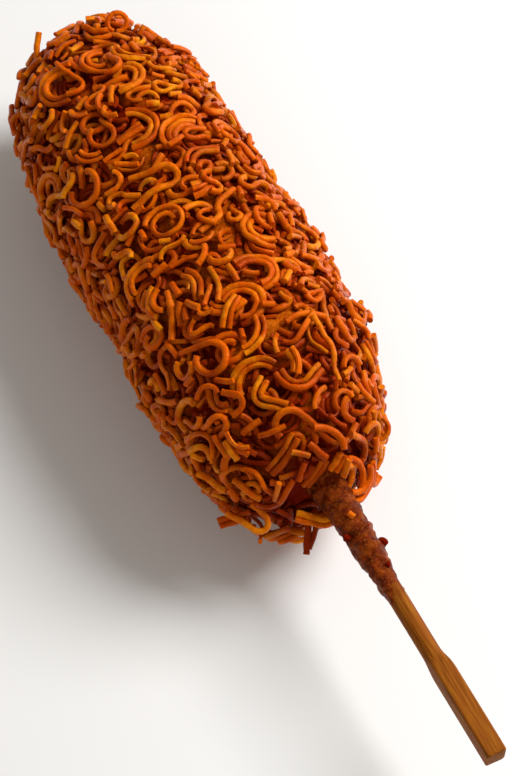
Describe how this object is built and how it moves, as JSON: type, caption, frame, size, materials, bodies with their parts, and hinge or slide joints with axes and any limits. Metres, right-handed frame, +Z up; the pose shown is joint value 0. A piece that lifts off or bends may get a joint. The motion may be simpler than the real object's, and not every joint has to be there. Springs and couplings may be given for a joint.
{
  "type": "corn dog",
  "caption": "Corn dog rolled in curly pieces of fried ramen noodle, with a crisp batter collar running down its wooden stick.",
  "frame": {"origin": "on the surface it lies on, under the middle of the whole part's box", "axes": "+Y along the food towards its tip, the stick runs towards -Y; +Z up, the side that is shown"},
  "size_m": [0.0562, 0.2138, 0.0541],
  "materials": {
    "fried_noodle": "fried, with an oily gloss",
    "fried_batter": "rough dark fried crust",
    "stick_wood": "plain wood, stained with oil"
  },
  "bodies": {
    "root": {"noodle_coat": "fried_noodle", "batter": "fried_batter", "stick": "stick_wood"}
  },
  "joints": []
}
